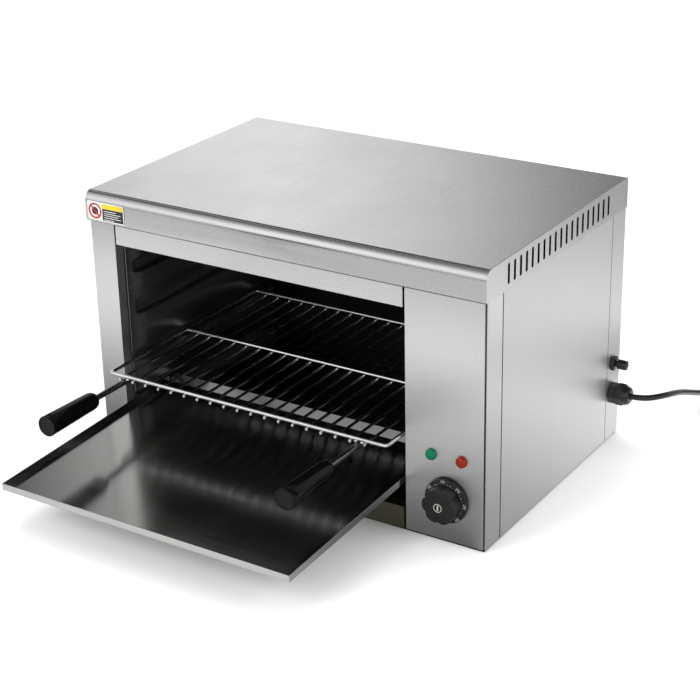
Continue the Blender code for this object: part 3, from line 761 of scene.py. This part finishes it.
def make_left_wall(material):
    """The chamber's left wall with pressed runners, its front edge turned out to the opening."""
    rows = {WALL_BOTTOM, 30.0, 36.0, 75.0, 125.0, 175.0, 225.0, WALL_TOP}
    for low, high, _ in RUNNERS:
        rows |= {low + step for step in (0, 1.0, 2.0, 3.0, 4.0)}
        rows |= {high - step for step in (4.0, 3.0, 2.0, 1.0, 0)}
    columns = [WALL_FRONT + step for step in (*range(0, 26, 2), 40)]
    columns += [120.0, 200.0, WALL_BACK]
    bm = bmesh.new()
    grid = []
    for z in sorted(rows):
        line = []
        for y in columns:
            edge = (WALL_LEFT - FRONT_EDGE) * (1 - rise(y, WALL_FRONT, WALL_FRONT + TURN_OUT))
            x = WALL_LEFT - (WALL_SHEET / 2 + max(pressed(y, z), edge))
            line.append(bm.verts.new(place((x, y, z))))
        grid.append(line)
    for low, high in zip(grid, grid[1:]):
        for corners in zip(low, low[1:], high[1:], high):
            bm.faces.new(corners)
    wall = show("left_wall", mesh_from(bm, "left_wall", 60.0), material)
    solid = wall.modifiers.new("sheet", "SOLIDIFY")
    solid.thickness = WALL_SHEET * MM
    solid.offset = 0.0
    put(wall, "root", "chamber_steel", "chamber_left_wall")


def make_chamber():
    # the chamber's steel is darker than the casing's: painted shade inside the chamber
    side = brushed("chamber_side_steel_painted_shade", (0.34, 0.335, 0.325), 0.36, "Y", 0.15, 0.4, 500.0)
    # painted shade over the wall's front edge beside the post, dimming its bright edge
    make_left_wall(paint_joint_shade(side, ("Y", WALL_FRONT - 0.5, 0.9)))
    dark = brushed("chamber_steel", (0.045, 0.044, 0.041), 0.34, "Y", 0.15, 0.4, 500.0)
    for name in ("right_wall", "back_wall", "ceiling", "floor"):
        dress(f"chamber_{name}", dark)
    tray = brushed("tray_steel", (0.52, 0.52, 0.51), 0.15, "X", 0.03, 0.8)
    # the tray's back part carries painted shade where it lies in the chamber
    folded("drip_tray", 0.3, paint_rear_shade(tray, 20, 62), "tray_steel")


# --- pull-out rack ----------------------------------------------------------------------------
RACK_LEFT, RACK_RIGHT = -191.7, 134.2
RACK_FRONT, RACK_BACK = -25.0, 230.0
RACK_HEIGHT = 98.5
ROD_COUNT = 19
ROD_FIRST, ROD_PITCH = -177.3, 16.08
ROD_DROP = 3.1  # the cross rods lie this far under the frame wire
# each handle's side, its place across, and the rear end of its grip
HANDLES = (("left", -173.6, -72.5), ("right", 104.0, -77.0))
HANDLE_HEIGHT = 92.2
HANDLE_REAR = -19.0  # the steel rods end under the rack's front wire


def rounded_loop(left, right, front, back, radius, steps):
    corners = ((right, back, 0), (left, back, 90), (left, front, 180), (right, front, 270))
    points = []
    for x, y, angle in corners:
        cx = x + (radius if x == left else -radius)
        cy = y + (radius if y == front else -radius)
        points += arc((cx, cy), radius, angle, angle + 90, steps)
    return points


def make_rack():
    material = hazed("chrome_wire", (0.80, 0.80, 0.80), 0.15, 0.28, 200.0)
    corners = rounded_loop(RACK_LEFT, RACK_RIGHT, RACK_FRONT, RACK_BACK, 4.0, 8)
    loop = [(x, y, RACK_HEIGHT) for x, y in corners]
    pieces = [wire("frame_wire", loop, 2.1, material, cyclic=True)]
    middle = (RACK_FRONT + RACK_BACK) / 2
    bar = [(RACK_LEFT, middle, RACK_HEIGHT), (RACK_RIGHT, middle, RACK_HEIGHT)]
    pieces.append(wire("middle", bar, 1.8, material))
    for i in range(ROD_COUNT):
        x = ROD_FIRST + ROD_PITCH * i
        height = RACK_HEIGHT - ROD_DROP
        rod = [(x, RACK_FRONT - 3, height), (x, RACK_BACK + 3, height)]
        pieces.append(wire(f"rod_{i}", rod, 1.45, material, resolution=3))
    for _, x, _ in HANDLES:
        for shift in (-4.6, 4.6):
            spot = [(x + shift, RACK_FRONT + 0.6, 95.0), (x + shift * 0.55, RACK_FRONT - 0.6, 95.6)]
            pieces.append(wire("weld", spot, 1.5, material, resolution=3))
    put(merged("rack_wires", pieces, material), "rack", "chrome_wire", "wire_rack")
    for side, x, end in HANDLES:
        make_handle(side, x, end)


def make_handle(side, x, end):
    """The steel rod, the glossy grip and its end cap."""
    start = (x, end, HANDLE_HEIGHT)
    rod_steel = hazed(f"{side}_rod_steel", (0.20, 0.195, 0.18), 0.2, 0.42, 400.0, (1, 0.1, 1))
    rear = end - HANDLE_REAR
    rod = [(0, 43), (2.6, 43), (3.0, 42.6), (3.0, rear + 0.8), (2.2, rear), (0, rear)]
    put(turned(f"{side}_rod", rod, start, "-Y", rod_steel, 32), "rack", "rod_steel",
        f"{side}_handle_rod")
    gloss = moulded(f"{side}_grip_plastic", (0.002, 0.002, 0.002), 0.14, 900.0, 0.02,
                    specular_ior_level=0.15)
    grip = [(0, 67.5), (9.6, 67.5), (10.1, 67.3), (10.25, 66.7), (10.2, 60), (9.0, 7), (8.8, 5)]
    grip += [(8.4, 3.2), (7.8, 1.8), (7.1, 0.7), (6.3, 0), (3.3, 0), (3.3, 44), (0, 44)]
    put(turned(f"{side}_handle", grip, start, "-Y", gloss, 72), "rack", "gloss_black",
        f"{side}_grip")
    cap = [(0, 69.8), (8.2, 69.8), (8.5, 70.0), (8.8, 70.3), (9.3, 70.4), (9.9, 70.3)]
    cap += [(10.4, 69.8), (10.5, 69.2), (10.5, 68.4), (10.3, 67.9), (9.8, 67.8), (0, 67.8)]
    put(turned(f"{side}_cap", cap, start, "-Y", gloss, 72), "rack", "gloss_black",
        f"{side}_grip_cap")


# --- controls ---------------------------------------------------------------------------------
KNOB = (184.5, 0, 45.0)
KNOB_BACK = -4.7  # the grip's back face, just in front of the skirt
DIAL_DOTS = 31
DOT_RING = 17.9
NUMBER_RING = 20.0
NUMBER_SIZE = 3.4
LAMP_HEIGHT = 88.0
RESET_Y, RESET_HEIGHT = 272.0, 86.6


def scalloped(radius, depth):
    """A round outline with six soft hollows."""
    outline = []
    steps = 120
    for i in range(steps):
        angle = 2 * math.pi * i / steps
        hollow = (0.5 - 0.5 * math.cos(6 * angle)) ** 3
        r = radius - depth * hollow
        outline.append((r * math.cos(angle), r * math.sin(angle)))
    return outline


def make_knob():
    black = moulded("knob_plastic", (0.010, 0.010, 0.009), 0.36, 1200.0, 0.10,
                    specular_ior_level=0.3)
    skirt = [(0, 4.4), (21.6, 4.4), (22.05, 4.2), (22.25, 3.7), (22.25, 2.6), (22.0, 2.2), (0, 2.2)]
    put(turned("dial_skirt", skirt, KNOB, "-Y", black, 96), "control_knob", "knob_black",
        "knob_skirt")
    grip = outlined("dial_grip", scalloped(17.5, 1.9), (KNOB[0], KNOB_BACK, KNOB[2]), "-Y", 14.0,
                    black, 1.2)
    keep_normals(grip)
    put(grip, "control_knob", "knob_black", "knob_grip")
    pale = moulded("dial_print", (0.40, 0.40, 0.38), 0.5, 900.0, 0.02)
    ring = [(4.3, 19.3), (4.3, 18.8), (3.75, 18.8), (3.75, 19.3), (4.3, 19.3)]
    put(turned("dial_ring", ring, KNOB, "-Y", pale, 64), "control_knob", "knob_mark", "knob_cap")
    dress("knob_shaft", pale)
    pointer = outlined("dial_pointer", [(-0.7, -2.6), (0.7, -2.6), (0.7, 2.6), (-0.7, 2.6)],
                       (KNOB[0], -18.75, KNOB[2]), "-Y", 0.3, pale)
    put(pointer, "control_knob", "knob_mark")
    make_dial_marks(pale)


def on_dial(radius, angle, y):
    """A place on the dial, by its distance and direction from the shaft."""
    return (KNOB[0] + radius * math.cos(angle), y, KNOB[2] + radius * math.sin(angle))


def make_dial_marks(pale):
    """A ring of fine dots with a number at each main division."""
    dots = []
    for i in range(DIAL_DOTS):
        centre = on_dial(DOT_RING, math.radians(224 - 10 * i), 0)
        size = 0.55 if i % 5 == 0 else 0.36
        profile = [(0, 4.5), (size, 4.5), (size, 4.35), (0, 4.35)]
        dots.append(turned(f"dot_{i}", profile, centre, "-Y", pale, 12))
    put(merged("dial_dots", dots, pale), "control_knob", "knob_mark")
    for i in range(6):
        make_numeral(str(50 * (i + 1)), math.radians(199 - 50 * i), pale)


def make_numeral(text, angle, material):
    """A number on the dial, its foot towards the middle."""
    curve = bpy.data.curves.new("numeral", "FONT")
    curve.body = text
    curve.size = NUMBER_SIZE * MM
    curve.align_x = "CENTER"
    curve.align_y = "CENTER"
    curve.extrude = 0.00006
    name = "dial_number_" + text
    mesh = curve_mesh(name, curve)
    turn = Matrix.Rotation(angle - math.pi / 2, 4, "Z")
    matrix = frame_at(place(on_dial(NUMBER_RING, angle, -4.46)), "-Y") @ turn
    put(show(name, mesh, material, matrix), "control_knob", "knob_mark")


def make_lamps():
    profile = [(0, 4.6), (1.6, 4.55), (3.0, 4.35), (4.0, 4.0), (4.8, 3.4), (5.3, 2.7), (5.6, 1.8)]
    profile += [(5.6, 0.5), (5.4, 0.3), (4.4, 0.3), (4.4, -6), (0, -6)]
    for colour, shade, x in (
        ("green", (0.0, 0.16, 0.075), 167.4),
        ("red", (0.24, 0.015, 0.002), 199.3),
    ):
        material, tree, shader = principled(
            f"{colour}_lens_plastic", shade, 0.16, 0.0, transmission_weight=0.25, ior=1.49,
            emission_color=(*shade, 1.0), emission_strength=0.04, specular_ior_level=0.2,
        )
        bumped(tree, shader, stretched_noise(tree, 500.0, EVEN, 1.0), 0.4, 0.0002)
        lens = turned(f"{colour}_lens", profile, (x, 0, LAMP_HEIGHT), "-Y", material, 48)
        put(lens, "root", f"{colour}_lens", f"{colour}_lamp_lens")
        dress(f"{colour}_lamp_body", moulded(f"{colour}_holder", (0.02, 0.02, 0.02), 0.4))


def hexagon(across_flats):
    return arc((0, 0), across_flats / math.sqrt(3), 0, 300, 5)


def make_side_fittings():
    nylon = moulded("black_nylon", (0.004, 0.004, 0.004), 0.24, 1300.0, 0.05)
    face = (224.4, RESET_Y, RESET_HEIGHT)
    put(outlined("reset_hex", hexagon(13.6), face, "X", 4.2, nylon, 0.5), "root", "nylon_black",
        "reset_nut")
    head = [(0, 241), (3.9, 241), (4.6, 240.7), (5, 240), (5, 231.6), (4.6, 231.2), (2.9, 231.2)]
    head += [(2.9, 214), (0, 214)]
    put(turned("reset_cap", head, (0, RESET_Y, RESET_HEIGHT), "X", nylon, 48), "reset_button",
        "nylon_black", "reset_button")
    dress("gland_locknut", nylon)
    for name in ("gland_body", "gland_dome_nut"):
        softened(name, nylon)


# --- label ------------------------------------------------------------------------------------
LABEL_FACE = NOSE_FRONT - 0.72
LABEL_LOW, LABEL_HIGH = 253.3, 270.4
SIGN_X = -211.9
BLOCK_LEFT, BLOCK_RIGHT = -202.6, -176.6
RULE_LENGTHS = (15, 21, 18, 21, 12)


def flat_piece(name, left, right, low, high, y, thickness, material):
    """A thin upright rectangle on the label."""
    outline = [(left, low), (right, low), (right, high), (left, high)]
    put(outlined(name, outline, (0, y, 0), "-Y", thickness, material), "root", "label")


def make_label():
    """A plain notice plate: a red ring, bar and dot on white, and a yellow strip over a block."""
    shades = {
        "white": (0.62, 0.62, 0.60),
        "red": (0.36, 0.006, 0.006),
        "yellow": (0.62, 0.48, 0.01),
        "dark": (0.02, 0.02, 0.02),
    }
    inks = {key: moulded(f"label_{key}", shade, 0.4, 900.0, 0.02) for key, shade in shades.items()}
    dress("front_label", inks["white"])
    ring = [(8.1, 0.12), (8.1, 0.0), (6.3, 0.0), (6.3, 0.12), (8.1, 0.12)]
    centre = (SIGN_X, LABEL_FACE, (LABEL_LOW + LABEL_HIGH) / 2)
    put(turned("label_ring", ring, centre, "-Y", inks["red"], 48), "root", "label")
    bar = [(-6.9, -0.9), (6.9, -0.9), (6.9, 0.9), (-6.9, 0.9)]
    piece = outlined("label_bar", bar, centre, "-Y", 0.11, inks["red"])
    piece.matrix_world = piece.matrix_world @ Matrix.Rotation(math.radians(-45), 4, "Z")
    put(piece, "root", "label")
    dot = [(0, 0.1), (4.0, 0.1), (4.0, 0), (0, 0)]
    put(turned("label_dot", dot, centre, "-Y", inks["dark"], 32), "root", "label")
    for name, low, high, ink in (
        ("label_strip", 265.6, LABEL_HIGH, "yellow"),
        ("label_block", LABEL_LOW, 265.4, "dark"),
    ):
        flat_piece(name, BLOCK_LEFT, BLOCK_RIGHT, low, high, LABEL_FACE, 0.1, inks[ink])
    left = BLOCK_LEFT + 2
    for i, length in enumerate(RULE_LENGTHS):
        low = 262.9 - 2.2 * i
        flat_piece(f"label_rule_{i}", left, left + length, low, low + 0.6, LABEL_FACE - 0.1, 0.06,
                   inks["white"])


# --- inner pieces -----------------------------------------------------------------------------
def make_inner_pieces():
    zinc = hazed("zinc_steel", (0.62, 0.62, 0.60), 0.25, 0.45, 250.0)
    for name in ("front", "rear"):
        dress(f"element_hanger_{name}", zinc)
        dress(f"element_flange_{name}", zinc)
    for number in range(1, 5):
        dress(f"rear_screw_{number}", zinc)
    sheath = hazed("element_sheath", (0.12, 0.115, 0.11), 0.4, 0.65, 120.0)
    for name in ("front", "rear"):
        dress(f"heating_element_{name}", sheath)
    ceramic = moulded("ceramic", (0.72, 0.70, 0.65), 0.45, 800.0)
    for name in ("terminal_block", "thermostat_body", "reset_cutout_body"):
        dress(name, ceramic)
    copper = hazed("copper", (0.72, 0.40, 0.26), 0.25, 0.4, 200.0)
    dress("thermostat_bulb", copper)
    dress("thermostat_capillary", copper)
    dress("wire_live", moulded("brown_insulation", (0.2, 0.08, 0.04), 0.5))
    dress("wire_neutral", moulded("blue_insulation", (0.03, 0.1, 0.42), 0.5))
    dress("supply_lead_inner", moulded("inner_sheath", (0.014, 0.014, 0.015), 0.45))


# --- studio -----------------------------------------------------------------------------------
# each light's name, place, target, width, height and power
LIGHTS = (
    ("front_box", (-0.9, -2.0, 1.5), (0, 0, 0.15), 1.2, 0.96, 30),
    ("right_box", (2.2, -0.2, 1.2), (0.2, 0, 0.15), 1.4, 1.4, 28),
    ("top_box", (-0.3, 0.5, 2.2), (0, 0, 0.2), 1.2, 1.2, 18),
)
# the brightness of the floor's painted reflection, by metres behind the front plane: ahead of the
# casing, beside it; its dip near the casing is a painted shadow
FLOOR_FRONT = ((-3.0, 0.15), (-0.95, 0.15), (-0.63, 0.15), (-0.57, 0.30), (-0.53, 1.0),
               (-0.49, 1.34), (-0.424, 1.54), (-0.347, 1.45), (-0.276, 1.22), (-0.211, 0.87),
               (-0.152, 0.52), (-0.097, 0.32), (-0.047, 0.19), (0.0, 0.13), (0.26, 0.13),
               (0.4, 0.55), (0.8, 1.0), (2.0, 0.7))
FLOOR_RIGHT = ((-1.2, 0.2), (-0.60, 0.3), (-0.5, 1.2), (-0.35, 1.4), (-0.25, 0.9), (-0.12, 0.42),
               (0.0, 0.44), (0.1, 0.56), (0.2, 0.88), (0.3, 1.16), (0.42, 1.34), (0.55, 1.24),
               (0.67, 1.08), (0.745, 0.84), (0.8, 0.66), (0.9, 0.5), (1.4, 0.4))
FLOOR_EDGE = (0.208, 0.232)  # metres from the middle, where the side's image takes over
RIGHT_SLANT, LEFT_SLANT = -0.4, 4.0  # how that edge runs ahead of the front plane
# the light boxes stand all round the room, this far apart in degrees, one of them at the azimuth
BOX_AZIMUTH = -35.5
BOX_SPACING = 34.0
BOX_LOW, BOX_HIGH = -0.1, 1.37
# the shade of the walls by height in radians, behind the casing and ahead of it
BEHIND = ((-0.2, 1.0), (0.0, 1.0), (0.48, 1.0), (0.66, 0.38), (0.85, 0.24), (1.57, 0.20))
AHEAD = ((-0.2, 0.8), (0.0, 1.1), (0.25, 1.35), (0.55, 1.2), (0.75, 0.7), (0.95, 0.3), (1.57, 0.15))
AHEAD_EDGE = (-0.1, 0.35)


def area_light(name, where, target, width, height, power):
    data = bpy.data.lights.new(name, "AREA")
    data.shape = "RECTANGLE"
    data.size = width
    data.size_y = height
    data.energy = power
    obj = bpy.data.objects.new(name, data)
    bpy.context.scene.collection.objects.link(obj)
    where, target = Vector(where), Vector(target)
    obj.location = where
    obj.rotation_mode = "QUATERNION"
    obj.rotation_quaternion = (target - where).to_track_quat("-Z", "Y")
    obj.visible_glossy = False


def shade_curve(tree, value, stops):
    """A smooth curve through (value, shade) stops."""
    low, high = stops[0][0], stops[-1][0]
    ramp = node(tree, "ValToRGB")
    ramp.color_ramp.interpolation = "B_SPLINE"
    top = max(shade for _, shade in stops)
    elements = ramp.color_ramp.elements
    while len(elements) < len(stops):
        elements.new(0.5)
    for element, (at, shade) in zip(elements, stops):
        element.position = (at - low) / (high - low)
        element.color = (shade / top, shade / top, shade / top, 1)
    join(tree, ranged(tree, value, (low, high)), ramp)
    return maths(tree, "MULTIPLY", ramp, top)


def painted_floor_reflection(tree):
    """The floor's painted reflection in the steel: one ahead of the casing, another beside it."""
    where = node(tree, "NewGeometry")
    local = node(tree, "VectorMath", operation="SUBTRACT")
    join(tree, where, local, "Position", 0)
    local.inputs[1].default_value = place((0, 0, 0))
    parts = node(tree, "SeparateXYZ")
    join(tree, local, parts)
    near = maths(tree, "MINIMUM", (parts, "Y"), 0.0)
    right = maths(tree, "MULTIPLY_ADD", near, RIGHT_SLANT, (parts, "X"))
    left = maths(tree, "SUBTRACT", maths(tree, "MULTIPLY", near, LEFT_SLANT), (parts, "X"))
    either = maths(tree, "MAXIMUM", right, left)
    beside = ranged(tree, either, FLOOR_EDGE, interpolation_type="SMOOTHSTEP")
    front = shade_curve(tree, (parts, "Y"), FLOOR_FRONT)
    side = shade_curve(tree, (parts, "Y"), FLOOR_RIGHT)
    return mixed(tree, beside, front, side)


def make_floor():
    """A white floor; in the steel it glows with a painted reflection, dark near the casing as
    painted shadow and fading far away.
    """
    bm = bmesh.new()
    bmesh.ops.create_grid(bm, x_segments=1, y_segments=1, size=8.0)
    material, tree, shader = principled("floor", (0.9, 0.9, 0.9), 0.7)
    floor = show("floor", mesh_from(bm, "floor"), material, Matrix.Translation((0, 0, -0.0004)))
    # this glow is painted light, seen only in reflections
    image = node(tree, "Emission")
    join(tree, painted_floor_reflection(tree), image, 0, "Strength")
    path = node(tree, "LightPath")
    pick = node(tree, "MixShader")
    join(tree, path, pick, "Is Glossy Ray", 0)
    join(tree, shader, pick, 0, 1)
    join(tree, image, pick, 0, 2)
    join(tree, pick, tree.nodes["Material Output"], 0, "Surface")
    material.cycles.emission_sampling = "NONE"


def wall_image(tree):
    """What the steel mirrors of the room: upright light boxes, and a plain wall ahead."""
    where = node(tree, "TexCoord")
    parts = node(tree, "SeparateXYZ")
    join(tree, where, parts, "Generated")
    turn = maths(tree, "ARCTAN2", (parts, "X"), (parts, "Y"))
    rate = 360.0 / BOX_SPACING
    wave = maths(tree, "MULTIPLY_ADD", turn, rate, math.radians(-BOX_AZIMUTH) * rate)
    boxes = ranged(tree, maths(tree, "COSINE", wave), (-1.0, 1.0), (BOX_LOW, BOX_HIGH))
    height = maths(tree, "ARCSINE", (parts, "Z"))
    behind = maths(tree, "MULTIPLY", boxes, shade_curve(tree, height, BEHIND))
    forward = maths(tree, "MULTIPLY", (parts, "Y"), -1.0)
    facing = ranged(tree, forward, AHEAD_EDGE, interpolation_type="SMOOTHSTEP")
    return mixed(tree, facing, behind, shade_curve(tree, height, AHEAD))


def make_world():
    """Plain white walls, which the steel mirrors as soft light boxes under a darker ceiling."""
    world = bpy.data.worlds.new("studio")
    bpy.context.scene.world = world
    world.use_nodes = True
    world.cycles.sampling_method = "NONE"
    tree = world.node_tree
    back = tree.nodes["Background"]
    glossy = (node(tree, "LightPath"), "Is Glossy Ray")
    join(tree, mixed(tree, glossy, 1.0, wall_image(tree)), back, 0, "Strength")
    back.inputs["Color"].default_value = (1, 1, 1, 1)


def make_studio():
    make_floor()
    make_world()
    for light in LIGHTS:
        area_light(*light)
    bpy.context.scene.view_settings.view_transform = "Standard"


make_camera()
make_cord(make_plug())
make_casing()
make_chamber()
make_rack()
make_knob()
make_lamps()
make_side_fittings()
make_label()
make_inner_pieces()
make_studio()
